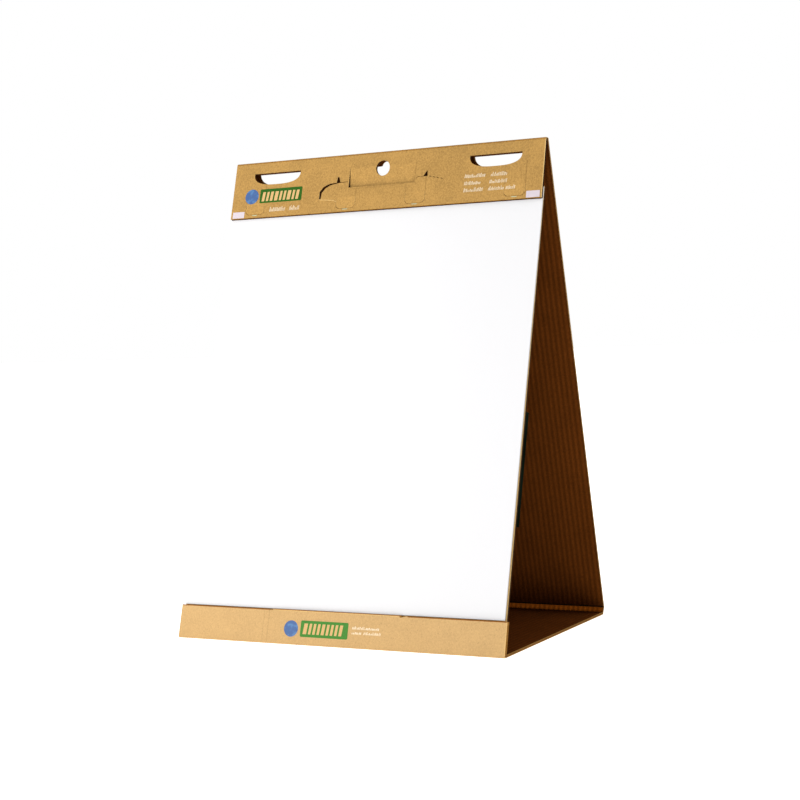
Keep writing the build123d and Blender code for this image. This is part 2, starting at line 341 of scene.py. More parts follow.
def slab(panel, xs, ss, top, thickness, taper=0.0):
    """Points and faces of a closed thin sheet over a grid; top(x, s) is its outer face's height.
    taper is how much narrower the right side is at s = 0 than at the pad's top."""
    points, faces = [], []
    across, rows = len(xs), len(ss)
    for drop in (0, thickness):
        for s in ss:
            points += [panel.point(tapered(x, s, taper), s, top(x, s) - drop) for x in xs]
    under = across * rows
    for j in range(rows - 1):
        for i in range(across - 1):
            a = j * across + i
            quad = (a, a + 1, a + across + 1, a + across)
            faces += [quad, tuple(under + k for k in reversed(quad))]
    rim = list(range(across)) + [(j + 1) * across - 1 for j in range(1, rows)]
    rim += [(rows - 1) * across + i for i in range(across - 2, -1, -1)]
    rim += [j * across for j in range(rows - 2, 0, -1)]
    faces += [(b, a, under + a, under + b) for a, b in zip(rim, rim[1:] + rim[:1])]
    return points, faces


def joined(parts):
    """Several (points, faces) as one."""
    points, faces = [], []
    for more, polygons in parts:
        start = len(points)
        points += more
        faces += [tuple(start + k for k in polygon) for polygon in polygons]
    return points, faces


def column(panel, outline, low, high):
    """Closed prism over an outline of (x, s) points, from w = low to w = high."""
    count = len(outline)
    area = sum(x0 * s1 - x1 * s0 for (x0, s0), (x1, s1) in zip(outline, outline[1:] + outline[:1]))
    outline = outline if area > 0 else outline[::-1]
    points = [panel.point(x, s, w) for w in (low, high) for x, s in outline]
    faces = [tuple(range(count - 1, -1, -1)), tuple(range(count, 2 * count))]
    faces += [(i, (i + 1) % count, count + (i + 1) % count, count + i) for i in range(count)]
    return points, faces


def tidy_normals(obj):
    work = bmesh.new()
    work.from_mesh(obj.data)
    bmesh.ops.recalc_face_normals(work, faces=work.faces)
    work.to_mesh(obj.data)
    work.free()


def carve(obj, cutter, operation="DIFFERENCE"):
    """Boolean of obj with the (points, faces) of a cutter, applied."""
    tool = new_object("cutter", *cutter, obj.data.materials[0])
    for each in (obj, tool):
        tidy_normals(each)
    change = obj.modifiers.new("carve", "BOOLEAN")
    change.operation, change.solver, change.object = operation, "EXACT", tool
    mesh = bpy.data.meshes.new_from_object(obj.evaluated_get(bpy.context.evaluated_depsgraph_get()))
    obj.modifiers.clear()
    obj.data = mesh
    bpy.data.objects.remove(tool)


def piece(name, body, material, points, faces, stands_for=(), slot="kraft_liner", smooth=False):
    """One finished piece that rides on a body."""
    made = new_object(name, points, faces, material, smooth)
    tidy_normals(made)
    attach(made, body)
    if stands_for:
        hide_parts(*stands_for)
    return made


# ---- outlines -------------------------------------------------------------------------------------
def rounded(x0, x1, s0, s1, radius, steps=5):
    """Rectangle with round corners."""
    outline = []
    for cx, cs, start in ((x1 - radius, s0 + radius, -90), (x1 - radius, s1 - radius, 0),
                          (x0 + radius, s1 - radius, 90), (x0 + radius, s0 + radius, 180)):
        for i in range(steps + 1):
            a = (start + 90 * i / steps) * DEG
            outline.append((cx + radius * math.cos(a), cs + radius * math.sin(a)))
    return outline


def ring(cx, cs, radius, steps=48):
    return [(cx + radius * math.cos(2 * math.pi * i / steps), cs + radius * math.sin(2 * math.pi * i / steps))
            for i in range(steps)]


def half_moon(centre, top, drop, half, power=2.8, steps=28):
    outline = []
    for i in range(steps + 1):
        across = -math.cos(math.pi * i / steps)
        outline.append((centre + half * across, top - drop * (1 - abs(across) ** power) ** (1 / power)))
    return outline


# ---- washboard inner faces -----------------------------------------------------------------------
def washboard(depth):
    """The inner liner sinks a little between the flute tips it is glued to."""
    def top(x, s):
        return -depth + RIB * (1 - math.cos(2 * math.pi * (x + HALF) / PITCH)) / 2
    return top


def ribbed(name, node, body, panel, low, high, depth, material, rows, holes=(), taper=0.0):
    xs = spread(-HALF, HALF, FLUTES * 8)
    points, faces = slab(panel, xs, spread(low, high, rows), washboard(depth), -0.3 * MM, taper)
    made = new_object(name, points, faces, material, smooth=True)
    tidy_normals(made)
    for hole in holes:
        carve(made, column(panel, hole, -depth - 5 * MM, -depth + 5 * MM))
    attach(made, body)
    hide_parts(node)
    return made


MOON_X, MOON_HALF, MOON_TOP, MOON_DROP = 176.75 * MM, 39.75 * MM, 684 * MM, 18 * MM
MOON_BELOW = HEADER_TOP - 684 * MM       # the holes' places below the fold
HOLE_BELOW, HOLE_R = HEADER_TOP - 677.5 * MM, 11 * MM
HAND_BELOW, HAND_TALL, HAND_HALF = HEADER_TOP - 679 * MM, 27.5 * MM, 53 * MM
HAND_ROOM = 3 * MM
rear_holes = [half_moon(side * MOON_X, REAR.length - MOON_BELOW, MOON_DROP, MOON_HALF) for side in (-1, 1)]
rear_holes.append(ring(0, REAR.length - HOLE_BELOW, HOLE_R))
hand_top = REAR.length - HAND_BELOW + HAND_ROOM
rear_holes.append([(-HAND_HALF - HAND_ROOM, hand_top - HAND_TALL - 2 * HAND_ROOM),
                   (HAND_HALF + HAND_ROOM, hand_top - HAND_TALL - 2 * HAND_ROOM),
                   (HAND_HALF + HAND_ROOM, hand_top), (-HAND_HALF - HAND_ROOM, hand_top)])
PAD_BACK = 7.0 * MM
ribbed("rear_inside", "rear_inner_liner", "rear_panel", REAR, 1.6 * MM, REAR.length, BOARD, INNER_KRAFT_SHADED, 12,
       rear_holes)
ribbed("spine_inside", "spine_inner_liner", "base", SPINE, 2.4 * MM, 9.8 * MM, BOARD, SPINE_KRAFT_SHADED, 2)
ribbed("base_inside", "base_inner_liner", "base", BASE, 5.2 * MM, 342.4 * MM, BOARD, BASE_KRAFT_SHADED, 8)
BACKING_LOW, BACKING_HIGH = 7.4 * MM, 634 * MM
ribbed("backing_inside", "backing_inner_liner", "front_panel", FRONT, BACKING_LOW, BACKING_HIGH,
       PAD_BACK + BOARD, INNER_KRAFT_SHADED, 12, taper=BACKING_TAPER)

# ---- header and lip faces: printed liner with creases pressed into it -----------------------------
LINER = 0.4 * MM


def mm_points(*pairs):
    return [(x * MM, s * MM) for x, s in pairs]


TAB_X, TAB_HALF, TAB_TOP, TAB_LOW = (-209 * MM, -56 * MM, 56 * MM, 209 * MM), 15.5 * MM, 637 * MM, 622.5 * MM
TAB_NAMES = ("tab_far_left", "tab_left", "tab_right", "tab_far_right")
TAB_CORNER = 6 * MM
FACE_LOW = 620.4 * MM           # the printed liner reaches a little past the flutes behind it


def tab_outline(centre, grow, low):
    half, low = TAB_HALF + grow, low - grow
    left = [(-half, TAB_TOP), (-half, low + TAB_CORNER)]
    for i in range(1, 6):
        a = i * 18 * DEG
        left.append((-half + 7 * MM * (1 - math.cos(a)), low + TAB_CORNER * (1 - math.sin(a))))
    return [(centre + x, s) for x, s in left + [(-x, s) for x, s in reversed(left)]]


def shrink(value, centre, half):
    """1 in the middle of a crease, falling to 0 at its edges."""
    return max(0.0, 1 - abs(value - centre) / half)


def face_height(creases, ripple):
    """Relief of a printed face: pressed creases (x, low s, high s, depth, half width) over a slight ripple."""
    def top(x, s):
        height = ripple * math.sin(2 * math.pi * (x + HALF) / PITCH) + ripple * math.sin(s / (9 * MM))
        for cx, low, high, depth, half in creases:
            if low <= s <= high:
                height -= depth * shrink(x, cx, half)
        return height
    return top


def lines(low, high, step, extra):
    """Evenly spaced grid lines from low to high, with extra ones where creases need them."""
    count = max(1, round((high - low) / step))
    values = sorted(spread(low, high, count) + [v for v in extra if low < v < high])
    return [v for k, v in enumerate(values) if k == 0 or v - values[k - 1] > 0.02 * MM]


def printed_face(name, node, body, panel, low, high, material, creases, cutters, ripple=0.02 * MM):
    across = [cx + k * half for cx, _, _, _, half in creases for k in (-1, -0.5, 0, 0.5, 1)]
    along = [value for _, a, b, _, _ in creases for value in (a, b)]
    xs = lines(-HALF, HALF, PITCH / 6, across)
    ss = lines(low, high, 6 * MM, along)
    made = new_object(name, *slab(panel, xs, ss, face_height(creases, ripple), LINER), material)
    tidy_normals(made)
    for group in cutters:
        carve(made, joined([column(panel, outline, -3 * MM, 3 * MM) for outline in group]))
    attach(made, body)
    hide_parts(node)
    return made


CREASE_DEEP = 0.25 * MM
moon_low, tabs_right = MOON_TOP - MOON_DROP, TAB_X[3] + TAB_HALF
header_creases = [
    (TAB_X[0] + TAB_HALF, HEADER_LOW, moon_low, CREASE_DEEP, 0.8 * MM),
    (TAB_X[0] - TAB_HALF, HEADER_LOW, 642 * MM, 0.12 * MM, 0.6 * MM),
    (TAB_X[0] - 0.4 * MM, MOON_TOP + 0.5 * MM, HEADER_TOP, 0.08 * MM, 0.6 * MM),
    (TAB_X[1] - TAB_HALF, HEADER_LOW, 628 * MM, 0.18 * MM, 0.6 * MM),
    (TAB_X[1] + TAB_HALF, HEADER_LOW, 650 * MM, CREASE_DEEP, 0.8 * MM),
    (TAB_X[2] - TAB_HALF, 628 * MM, 649 * MM, 0.12 * MM, 0.6 * MM),
    (TAB_X[2] + TAB_HALF, HEADER_LOW, 659 * MM, CREASE_DEEP, 0.8 * MM),
    (TAB_X[3] - TAB_HALF, 623 * MM, moon_low, 0.14 * MM, 0.6 * MM),
    (tabs_right, HEADER_LOW, 671 * MM, CREASE_DEEP, 0.8 * MM),
    (tabs_right, MOON_TOP + 0.5 * MM, HEADER_TOP, 0.10 * MM, 0.6 * MM),
]
hand_cut = [(-HAND_HALF - 0.6 * MM, HEADER_TOP - HAND_BELOW - HAND_TALL - 0.2 * MM),
            (HAND_HALF + 0.1 * MM, HEADER_TOP - HAND_BELOW - HAND_TALL - 0.2 * MM),
            (HAND_HALF + 0.1 * MM, HEADER_TOP - HAND_BELOW + 0.15 * MM),
            (-HAND_HALF - 0.6 * MM, HEADER_TOP - HAND_BELOW + 0.15 * MM)]
# the slit that takes the lip's tuck tab: gaping on the left, still only nicked on the right
left_slit = mm_points((-101.0, 636.5), (-101.0, 648), (-95, 655.4), (-85, 659.4), (-70, 660.7),
                      (-55.5, 660.6), (-55.5, 659.9), (-70, 659.5), (-84, 656.9), (-92.2, 652.2),
                      (-97.2, 645.8), (-98.2, 636.5))
right_slit = mm_points((54.6, 657.6), (58, 660), (72.4, 659.8), (72.4, 659.2), (58.3, 659.3), (54.6, 656.8))
left_notch = mm_points((-73.0, 668.6), (-70.4, 668.6), (-67.6, 660), (-73.8, 660))
right_notch = mm_points((72.6, 668), (73.2, 659.3), (66.3, 659.6), (71.4, 667))
nicks = [mm_points((75.5 + 6 * i, 659.5 - 1.4 * i), (75.5 + 6 * i, 658.5 - 1.4 * i),
                   (79.2 + 6 * i, 657.7 - 1.4 * i), (79.2 + 6 * i, 658.7 - 1.4 * i)) for i in range(4)]
tab_slits = [[(x + dx * MM, TAB_LOW + ds * MM) for dx, ds in ((-5, -3), (-3, -4), (3, -4), (5, -3))]
             for x in TAB_X]
open_cuts = [half_moon(side * MOON_X, MOON_TOP, MOON_DROP, MOON_HALF) for side in (-1, 1)]
open_cuts += [left_slit, right_slit, hand_cut] + nicks + tab_slits
open_cuts += [tab_outline(x, 0.4 * MM, FACE_LOW) for x in TAB_X]
printed_face("header_face", "header_outer_liner", "front_panel", FRONT, HEADER_LOW, HEADER_TOP,
             HEADER_KRAFT, header_creases,
             [open_cuts, [ring(0, HEADER_TOP - HOLE_BELOW, HOLE_R), left_notch, right_notch]])
printed_face("rear_face", "rear_outer_liner", "rear_panel", REAR, 0.1 * MM, REAR.length, REAR_KRAFT,
             [], [rear_holes[:3], rear_holes[3:]], 0.05 * MM)

LIP_RAISE = 0.8 * MM            # how far the tuck tab stands above the lip
lip_creases = [(-113 * MM, 2 * MM, LIP_TOP - 1 * MM, 0.15 * MM, 0.7 * MM),
               (-105 * MM, 2 * MM, LIP_TOP - 1 * MM, 0.22 * MM, 0.7 * MM)]
LIP_SHIFT = 1.2 * MM            # the printed liner sits a touch to the left
above, beyond = LIP_TOP + 3 * MM, HALF + 3 * MM
lip_steps = [[(-beyond, LIP_TOP), (-104.5 * MM, LIP_TOP), (-104 * MM, LIP_TOP - 0.9 * MM),
              (-99.8 * MM, LIP_TOP - 1.4 * MM), (-99.4 * MM, above), (-beyond, above)],
             [(95 * MM, above), (95.2 * MM, LIP_TOP - 1.9 * MM), (97 * MM, LIP_TOP - 2.1 * MM),
              (106 * MM, LIP_TOP), (beyond, LIP_TOP), (beyond, above)]]
lip_face = printed_face("lip_face", "lip_outer_liner", "lip", FRONT, 0.4 * MM, LIP_TOP + LIP_RAISE,
                        LIP_KRAFT_LIT, lip_creases, [lip_steps])
for vertex in lip_face.data.vertices:
    vertex.co.x -= LIP_SHIFT


# ---- tabs and hand flap: cut pieces of the same board --------------------------------------------
def fluted(panel, low, high, level):
    """Rounded fluted paper between two liners, from s = low to high, midway at w = level."""
    thick, swing = 0.25 * MM, (BOARD - 2 * LINER) / 2 - 0.13 * MM
    xs = spread(-HALF, HALF, FLUTES * 10)
    line = [(x, -swing * math.cos(2 * math.pi * (x + HALF) / PITCH)) for x in xs]
    points = [panel.point(x, s, level + w + lift) for s in (low, high) for lift in (thick / 2, -thick / 2)
              for x, w in line]
    n, faces = len(line), []
    for i in range(n - 1):
        a, b, c, d = i, n + i, 2 * n + i, 3 * n + i
        faces += [(a, a + 1, c + 1, c), (b, d, d + 1, b + 1), (a, b, b + 1, a + 1), (c, c + 1, d + 1, d)]
    faces += [(0, 2 * n, 3 * n, n), (n - 1, 2 * n - 1, 4 * n - 1, 3 * n - 1)]
    return points, faces


def cut_board(name, body, panel, face, behind, material, hole=None):
    """Flap of board with a printed face, flutes and an inner liner; behind is the outline of the back."""
    skin = new_object(name, *column(panel, face, -0.95 * LINER, 0), material)
    back = new_object(name + "_back", *column(panel, behind, -BOARD, -BOARD + LINER), INNER_KRAFT_SHADED)
    low, high = min(s for _, s in behind), max(s for _, s in behind)
    core = new_object(name + "_flutes", *fluted(panel, low - MM, high + MM, -BOARD / 2), FLUTING_SHADED)
    carve(core, column(panel, behind, -BOARD + LINER, -LINER), "INTERSECT")
    for made, finish in ((skin, "kraft_liner"), (back, "kraft_inside"), (core, "fluting")):
        tidy_normals(made)
        if hole:
            carve(made, column(panel, hole, -3 * BOARD, 3 * BOARD))
        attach(made, body)
    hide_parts(body)
    return skin


for x, name in zip(TAB_X, TAB_NAMES):
    cut_board(name + "_face", name, FRONT, tab_outline(x, 0.0, FACE_LOW),
              tab_outline(x, -0.1 * MM, TAB_LOW + 0.7 * MM), FLAP_KRAFT_LIT)


class Hinged(Panel):
    """A panel's directions after it has turned inwards about a line of its inner face."""

    def __init__(self, panel, s, depth, angle):
        pivot = panel.point(0, s, -depth)
        self.up = panel.up * math.cos(angle) + panel.out * math.sin(angle)
        self.out = panel.out * math.cos(angle) - panel.up * math.sin(angle)
        self.foot = pivot - self.up * s + self.out * depth


HAND_PUSH = 8 * DEG
hand_high = HEADER_TOP - HAND_BELOW
HAND_FLAP = Hinged(FRONT, hand_high, BOARD, HAND_PUSH)
hand_outline = [(-HAND_HALF, hand_high - HAND_TALL), (HAND_HALF, hand_high - HAND_TALL),
                (HAND_HALF, hand_high), (-HAND_HALF, hand_high)]
cut_board("hand_flap_face", "hand_flap", HAND_FLAP, hand_outline, hand_outline, FLAP_KRAFT_LIT,
          ring(0, HEADER_TOP - HOLE_BELOW, HOLE_R))

# ---- printed marks: blank plates, discs and rows of strokes ------------------------------------
INK = 0.06 * MM


def printed(name, body, panel, outlines, material, level=0.05 * MM):
    return piece(name, body, material, *joined([column(panel, outline, level, level + INK)
                                                for outline in outlines]))


def strokes(x0, x1, s0, s1, lean=0.2):
    """A row of short slanted strokes of uneven height, from x0 to x1 between s0 and s1."""
    outlines, x, tall = [], x0, s1 - s0
    while x < x1 - 1.2 * MM:
        wide, high = random.uniform(0.6, 1.2) * MM, tall * random.uniform(0.45, 1.0)
        outlines.append([(x, s0), (x + wide, s0), (x + wide + lean * high, s0 + high),
                         (x + lean * high, s0 + high)])
        x += wide + random.uniform(0.7, 1.3) * MM
    return outlines


def plate_bars(x0, x1, s0, s1):
    """Slanted bars of different widths, spread over a plate."""
    outlines, x, lean = [], x0, 0.12 * (s1 - s0)
    while x < x1 - 3 * MM:
        wide = min(random.choice((3.8, 4.6, 5.6)) * MM, x1 - x)
        outlines.append([(x, s0), (x + wide, s0), (x + wide + lean, s1), (x + lean, s1)])
        x += wide + 2.8 * MM
    return outlines


printed("header_disc", "front_panel", FRONT, [ring(-217 * MM, 648.5 * MM, 11.5 * MM)], BLUE)
printed("header_plate", "front_panel", FRONT, [rounded(-203 * MM, -131 * MM, 637.6 * MM, 659.0 * MM, 2.0 * MM)],
        GREEN)
printed("header_plate_bars", "front_panel", FRONT,
        plate_bars(-199.5 * MM, -136 * MM, 640.2 * MM, 654.4 * MM), TAN_PRINT, 0.12 * MM)
printed("header_caption", "front_panel", FRONT, strokes(-184 * MM, -156 * MM, 623.5 * MM, 631 * MM)
        + strokes(-150 * MM, -132 * MM, 623.5 * MM, 631 * MM), WHITE_PRINT)
notes = []
for row, (left_end, start, right_end) in enumerate(((163, 171.5, 196), (157, 170, 198), (162, 169, 209))):
    low = (651.3 - 10.3 * row) * MM
    notes += strokes(131.5 * MM, left_end * MM, low, low + 6.0 * MM)
    notes += strokes(start * MM, right_end * MM, low, low + 6.0 * MM)


def over_tab(outline):
    """Whether a printed stroke lies on the far right tab, wholly or in part."""
    reach = TAB_X[3] - TAB_HALF - 0.5 * MM
    return max(x for x, _ in outline) > reach and min(s for _, s in outline) < TAB_TOP


def off_tab_edge(outline):
    return min(x for x, _ in outline) > TAB_X[3] - TAB_HALF + 0.3 * MM


printed("header_notes", "front_panel", FRONT, [each for each in notes if not over_tab(each)], WHITE_PRINT)
printed("tab_notes", "tab_far_right", FRONT, [each for each in notes if over_tab(each) and off_tab_edge(each)],
        WHITE_PRINT, 0.01 * MM)
printed("lip_disc", "lip", FRONT, [ring(-69.4 * MM, 21.3 * MM, 11 * MM)], BLUE)
printed("lip_plate", "lip", FRONT, [rounded(-54.5 * MM, 19 * MM, 11 * MM, 33 * MM, 2.0 * MM)], LIP_GREEN)
printed("lip_plate_bars", "lip", FRONT, plate_bars(-50.5 * MM, 14 * MM, 14.8 * MM, 29.2 * MM), TAN_PRINT,
        0.12 * MM)
printed("lip_caption", "lip", FRONT, strokes(25 * MM, 66 * MM, 25 * MM, 29 * MM)
        + strokes(25 * MM, 40 * MM, 18.5 * MM, 22.5 * MM) + strokes(43 * MM, 70 * MM, 18.5 * MM, 22.5 * MM),
        LIP_WHITE_PRINT)
piece("tab_slit_paper", "front_panel", SLIT_PAPER,
      *joined([column(FRONT, outline, -LINER, -0.05 * MM) for outline in tab_slits]))
PATCH_X, PATCH_S, PATCH_HALF, PATCH_RISE = 237 * MM, 621 * MM, 10 * MM, 4.8 * MM
for side, sign in (("left", -1), ("right", 1)):
    tape = [(sign * PATCH_X + i * PATCH_HALF, PATCH_S + j * PATCH_RISE)
            for i, j in ((-1, -1), (1, -1), (1, 1), (-1, 1))]
    piece(f"patch_{side}", "front_panel", PATCH, *column(FRONT, tape, 0.03 * MM, 0.2 * MM),
          stands_for=(f"corner_patch_{side}",), slot="white_label")


# ---- creased ridges, painted highlights and painted shade along creases, ends and rims -------------
def ribbon(panel, path, wide, low, high):
    """Narrow band along a path of (x, s) points."""
    parts = []
    for (x0, s0), (x1, s1) in zip(path, path[1:]):
        along = Vector((x1 - x0, s1 - s0)).normalized() * wide / 2
        parts.append(column(panel, [(x0 + along.y, s0 - along.x), (x1 + along.y, s1 - along.x),
                                    (x1 - along.y, s1 + along.x), (x0 - along.y, s0 + along.x)], low, high))
    return parts


# painted highlight: a pale line along the left crease
piece("left_ridge_highlight", "front_panel", RIDGE_HIGHLIGHT_KRAFT, *joined(
    ribbon(FRONT, mm_points((-100.3, 635.9), (-88, 634.6), (-77, 633.6), (-71.8, 631)), 0.7 * MM,
           0.03 * MM, 0.12 * MM)))
# painted shade: faint darker lines along the flap's lower edge and the slit outlines
piece("right_ridge_shade", "front_panel", CREASE_SHADE_KRAFT, *joined(
    ribbon(FRONT, mm_points((37, 651.6), (45, 652.1), (50.5, 653.8), (54, 657.3)), 0.5 * MM,
           0.03 * MM, 0.1 * MM)
    + ribbon(FRONT, mm_points((98, 653.5), (101, 650), (101, 639.5), (83, 636)), 0.4 * MM,
             0.03 * MM, 0.08 * MM)
    + ribbon(FRONT, mm_points((-48, 648.5), (36, 650.5)), 0.5 * MM, 0.03 * MM, 0.08 * MM)))

BAND_TOP = 0.035 * MM           # how far a crease's band stands out of the board
crease_shade_bands = []
for x, low, high, depth, _ in header_creases:
    # beside a tab the crease is the cut itself, so the band of painted crease shade starts above it
    if high > TAB_TOP + 2 * MM and depth > 0.11 * MM:
        crease_shade_bands += ribbon(FRONT, [(x, max(low, TAB_TOP + 0.6 * MM)), (x, high - 0.3 * MM)], 1.2 * MM,
                               -depth, BAND_TOP)
crease_shade_bands += ribbon(FRONT, mm_points((53.5, 651), (53.5, 684)), 0.9 * MM, -0.1 * MM, BAND_TOP)
piece("crease_shade_bands", "front_panel", CREASE_SHADE_KRAFT, *joined(crease_shade_bands))
# the lip's creases get the same bands of painted shade
lip_shade_bands = []
for x, low, high, depth, _ in lip_creases:
    lip_shade_bands += ribbon(FRONT, [(x - LIP_SHIFT, low + 0.5 * MM), (x - LIP_SHIFT, high - 0.5 * MM)],
                        1.1 * MM, -depth, BAND_TOP)
piece("lip_shade_bands", "lip", LIP_CREASE_SHADE, *joined(lip_shade_bands))
# painted highlight: a pale strip along the right end of the header and of the lip
for name, body, low, high in (("header_end_highlight", "front_panel", HEADER_LOW, HEADER_TOP),
                              ("lip_end_highlight", "lip", 1 * MM, LIP_TOP)):
    end = HALF - 0.45 * MM - (LIP_SHIFT if body == "lip" else 0)
    piece(name, body, RIDGE_HIGHLIGHT_KRAFT, *joined(
        ribbon(FRONT, [(end, low + 0.2 * MM), (end, high - 0.6 * MM)], 0.9 * MM, -0.1 * MM, 0.06 * MM)))
lip_line, lip_left, lip_right = LIP_TOP - 0.55 * MM, -HALF - LIP_SHIFT, HALF - LIP_SHIFT
# a dark band along the lip's and tuck tab's top: the flute ends, with painted shade of the gap under the pad
piece("lip_rim_shade", "lip", RIM_SHADE_KRAFT, *joined(
    ribbon(FRONT, [(lip_left, lip_line), (-105 * MM, lip_line)], 1.3 * MM, -0.3 * MM, 0.06 * MM)
    + ribbon(FRONT, [(106 * MM, lip_line), (lip_right, lip_line)], 1.3 * MM, -0.3 * MM, 0.06 * MM)
    + ribbon(FRONT, [(-99 * MM, lip_line + LIP_RAISE), (94.8 * MM, lip_line + LIP_RAISE)], 0.8 * MM,
             -0.3 * MM, 0.06 * MM)))
# painted highlight: a pale line along the tuck tab's top edge
piece("tuck_edge_highlight", "lip", RIDGE_HIGHLIGHT_KRAFT, *joined(
    ribbon(FRONT, [(-98 * MM, LIP_TOP - 0.6 * MM), (94 * MM, LIP_TOP - 0.6 * MM)], 0.8 * MM,
           -0.1 * MM, 0.05 * MM)))
# a darker band along the header's lower edge, in the fold kraft's painted shade
piece("header_rim", "front_panel", FOLD_SHADE_KRAFT, *joined(
    ribbon(FRONT, [(-HALF + 0.2 * MM, HEADER_LOW + 0.4 * MM), (HALF - 0.2 * MM, HEADER_LOW + 0.4 * MM)],
           0.8 * MM, -0.3 * MM, 0.04 * MM)))
# painted shadow: a near-black band along the inside crease at the rear panel's foot
piece("rear_crease_shadow", "rear_panel", CREASE_SHADOW, *joined(
    ribbon(REAR, [(-HALF + 0.2 * MM, 2.1 * MM), (HALF - 0.2 * MM, 2.1 * MM)], 1.6 * MM,
           -BOARD - 0.2 * MM, -BOARD + 0.2 * MM)))


# ---- folded liner over the creases: fixed in place, riding a body only where both sides are on it ---
def wrap(name, path, thick, bodies, material, stands_for=(), ends=(-HALF, HALF)):
    """Liner bent over a fold: path lists (y, z) points of its outer side from the first body to the second."""
    offsets = []
    for i in range(len(path)):
        a, b = Vector(path[max(i - 1, 0)]), Vector(path[min(i + 1, len(path) - 1)])
        along = (b - a).normalized()
        offsets.append((-along.y * thick, along.x * thick))
    inner = [(y + dy, z + dz) for (y, z), (dy, dz) in zip(path, offsets)]
    loop = list(path) + inner[::-1]
    xs = spread(*ends, max(2, round((ends[1] - ends[0]) / (20 * MM))))
    points = [Vector((x, y, z)) for x in xs for y, z in loop]
    n, faces = len(loop), []
    for k in range(len(xs) - 1):
        for i in range(n):
            a, b = k * n + i, k * n + (i + 1) % n
            faces.append((a, b, b + n, a + n))
    for k in (0, len(xs) - 1):
        for i in range(len(path) - 1):
            a, b = k * n + i, k * n + n - 1 - i
            faces.append((a, a + 1, b - 1, b) if k else (b, b - 1, a + 1, a))
    made = new_object(name, points, faces, material)
    tidy_normals(made)
    if bodies[0] == bodies[1]:
        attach(made, bodies[0])
    else:
        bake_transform(made)
    if stands_for:
        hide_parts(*stands_for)
    return made


def spot(panel, s, w):
    place = panel.point(0, s, w)
    return (place.y, place.z)


SKIN = 0.12 * MM
crown = RIDGE_Z + 0.8 * MM
fold_back, fold_front = FOLD[1][1], FOLD[0][1]
# the ridge fold and the rear and spine creases take the fold kraft, painted crease shade
wrap("ridge_fold", [spot(REAR, REAR.length - 2.2 * MM, SKIN + 0.02 * MM),
                    spot(REAR, REAR.length - 0.4 * MM, 0.2 * MM),
                    (fold_back - 1.1 * MM, crown - 0.15 * MM), (fold_back - 2.4 * MM, crown - 0.25 * MM),
                    (fold_front + 4 * MM, crown - 0.4 * MM),
                    (fold_front + 2.4 * MM, crown - 0.2 * MM), (fold_front + 1.1 * MM, crown - 0.1 * MM),
                    spot(FRONT, HEADER_TOP - 0.4 * MM, 0.2 * MM),
                    spot(FRONT, HEADER_TOP - 1.7 * MM, SKIN + 0.02 * MM)],
     0.3 * MM, ("rear_panel", "front_panel"), FOLD_SHADE_KRAFT, ("top_fold",), (-HALF + 0.4 * MM, HALF - 0.4 * MM))
wrap("lip_crease", [spot(FRONT, 1.8 * MM, SKIN), spot(FRONT, 0.5 * MM, SKIN), (FRONT.foot.y, -0.10 * MM),
                    (FRONT.foot.y + 1.8 * MM, -SKIN)], 0.1 * MM, ("lip", "base"), LIP_KRAFT_LIT)
wrap("rear_crease", [spot(SPINE, SPINE.length - 1.6 * MM, SKIN), spot(SPINE, SPINE.length - 0.2 * MM, SKIN),
                     spot(REAR, 0.2 * MM, SKIN), spot(REAR, 1.6 * MM, SKIN)], 0.1 * MM,
     ("base", "rear_panel"), FOLD_SHADE_KRAFT)
wrap("spine_crease", [(SPINE.foot.y - 1.6 * MM, -SKIN), (SPINE.foot.y - 0.2 * MM, -SKIN),
                      spot(SPINE, 0.3 * MM, SKIN), spot(SPINE, 1.6 * MM, SKIN)], 0.1 * MM,
     ("base", "base"), FOLD_SHADE_KRAFT)

for name, low, high in (("hinge_left", -HAND_HALF + 0.2 * MM, -HOLE_R - 0.2 * MM),
                        ("hinge_right", HOLE_R + 0.2 * MM, HAND_HALF - 0.2 * MM)):
    wrap(name, [spot(FRONT, hand_high + 1.6 * MM, 0.07 * MM), spot(FRONT, hand_high + 0.3 * MM, 0.07 * MM),
                spot(HAND_FLAP, hand_high - 0.4 * MM, 0.07 * MM),
                spot(HAND_FLAP, hand_high - 1.6 * MM, 0.07 * MM)],
         0.06 * MM, ("front_panel", "hand_flap"), FLAP_KRAFT_LIT, ends=(low, high))

# ---- backing board, and the pad as separate sheets with slightly uneven edges ------------------
def level(height):
    return lambda x, s: height


def backing_layer(name, node, points, faces, material, finish):
    made = new_object(name, points, faces, material)
    tidy_normals(made)
    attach(made, "front_panel")
    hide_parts(node)


backing_layer("backing_face", "backing_outer_liner",
              *slab(FRONT, spread(-HALF, HALF, 40), spread(BACKING_LOW, BACKING_HIGH, 24), level(-PAD_BACK),
                    LINER, BACKING_TAPER), BACKING_KRAFT, "kraft_liner")
backing_rows = spread(BACKING_LOW, BACKING_HIGH, 2)
points, faces = joined([fluted(FRONT, low, high, -PAD_BACK - BOARD / 2)
                        for low, high in zip(backing_rows, backing_rows[1:])])
for point in points:
    along = (point - FRONT.foot).dot(FRONT.up)
    point.x = tapered(point.x, along, BACKING_TAPER)
backing_layer("backing_flutes", "backing_medium", points, faces, FLUTING_SHADED, "fluting")

STRIP_LOW, STRIP_HIGH, STRIP_WIDE, STRIP_DEEP = 170 * MM, 322 * MM, 14 * MM, 10 * MM
strip_right = [(tapered(HALF, s, BACKING_TAPER) - 0.6 * MM, s) for s in spread(STRIP_LOW, STRIP_HIGH, 16)]
strip_left = [(x - STRIP_WIDE, s) for x, s in reversed(strip_right)]
strip_back = -PAD_BACK - BOARD - STRIP_DEEP
piece("strip", "front_panel", STRIP,
      *column(FRONT, strip_right + strip_left, strip_back, strip_back + STRIP_DEEP),
      stands_for=("edge_strip",), slot="green_strip")

